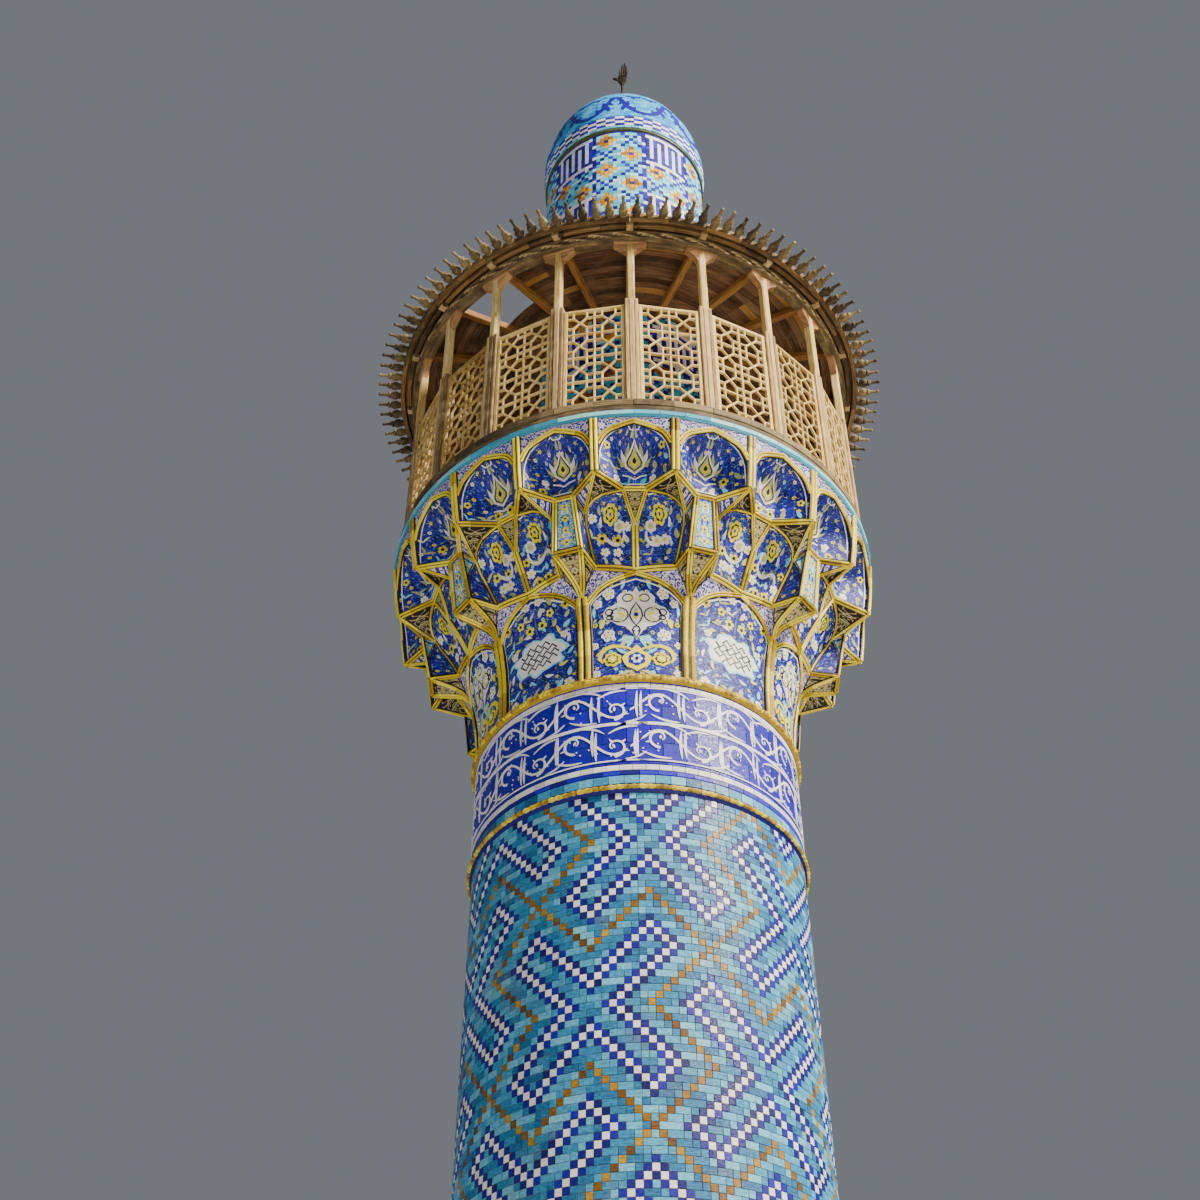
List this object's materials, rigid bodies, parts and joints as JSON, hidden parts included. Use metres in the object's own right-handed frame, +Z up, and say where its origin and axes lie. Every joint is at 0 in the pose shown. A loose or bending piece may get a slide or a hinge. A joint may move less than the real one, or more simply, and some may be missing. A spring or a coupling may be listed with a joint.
{
  "type": "minaret",
  "caption": "Round glazed-brick minaret with a muqarnas cornice, a latticed timber gallery under a spiked eave, and a tiled drum with a turquoise dome.",
  "frame": {"origin": "centre of the round foot, on the ground", "axes": "+Z up the tower's axis; the doorway at the foot faces +Y; -Y is the side in the picture"},
  "size_m": [5.7026, 5.7026, 23.98],
  "materials": {
    "shaft_brick": "turquoise glazed brick with cobalt, white and ochre figures",
    "cobalt_tile": "cobalt tile mosaic with white and yellow ornament",
    "gold_tile": "golden-yellow glazed rope moulding",
    "sky_tile": "plain turquoise glazed tile",
    "drum_brick": "white, turquoise and cobalt glazed brick",
    "floor_brick": "worn bedding and paving",
    "weathered_timber": "grey-brown weathered timber",
    "lattice_timber": "pale weathered timber",
    "dark_timber": "dark unpainted timber",
    "bronze": "dark weathered bronze"
  },
  "bodies": {
    "root": {"shaft_wall_front": "shaft_brick", "shaft_wall_right": "shaft_brick", "shaft_wall_left": "shaft_brick", "door_jamb_right": "shaft_brick", "door_jamb_left": "shaft_brick", "wall_over_door": "shaft_brick", "frieze_ring": "cobalt_tile", "neck_cornice": "gold_tile", "muqarnas_sector_1": "cobalt_tile", "muqarnas_sector_2": "cobalt_tile", "muqarnas_sector_3": "cobalt_tile", "muqarnas_sector_4": "cobalt_tile", "muqarnas_sector_5": "cobalt_tile", "muqarnas_sector_6": "cobalt_tile", "muqarnas_sector_7": "cobalt_tile", "muqarnas_sector_8": "cobalt_tile", "muqarnas_sector_9": "cobalt_tile", "muqarnas_sector_10": "cobalt_tile", "turquoise_ring": "sky_tile", "gallery_floor": "floor_brick", "gallery_frame_1": "weathered_timber", "gallery_frame_2": "weathered_timber", "gallery_frame_3": "weathered_timber", "gallery_frame_4": "weathered_timber", "gallery_frame_5": "weathered_timber", "lattice_panel_1": "lattice_timber", "lattice_panel_2": "lattice_timber", "lattice_panel_3": "lattice_timber", "lattice_panel_4": "lattice_timber", "lattice_panel_5": "lattice_timber", "lattice_panel_6": "lattice_timber", "lattice_panel_7": "lattice_timber", "lattice_panel_8": "lattice_timber", "lattice_panel_9": "lattice_timber", "lattice_panel_10": "lattice_timber", "lattice_panel_11": "lattice_timber", "lattice_panel_12": "lattice_timber", "lattice_panel_13": "lattice_timber", "lattice_panel_14": "lattice_timber", "lattice_panel_15": "lattice_timber", "lattice_panel_16": "lattice_timber", "lattice_panel_17": "lattice_timber", "lattice_panel_18": "lattice_timber", "lattice_panel_19": "lattice_timber", "lattice_panel_20": "lattice_timber", "eave_ring": "dark_timber", "roof_sector_1": "dark_timber", "roof_sector_2": "dark_timber", "roof_sector_3": "dark_timber", "roof_sector_4": "dark_timber", "roof_sector_5": "dark_timber", "drum": "drum_brick", "drum_collar": "drum_brick", "dome": "sky_tile", "finial": "bronze"}
  },
  "joints": []
}
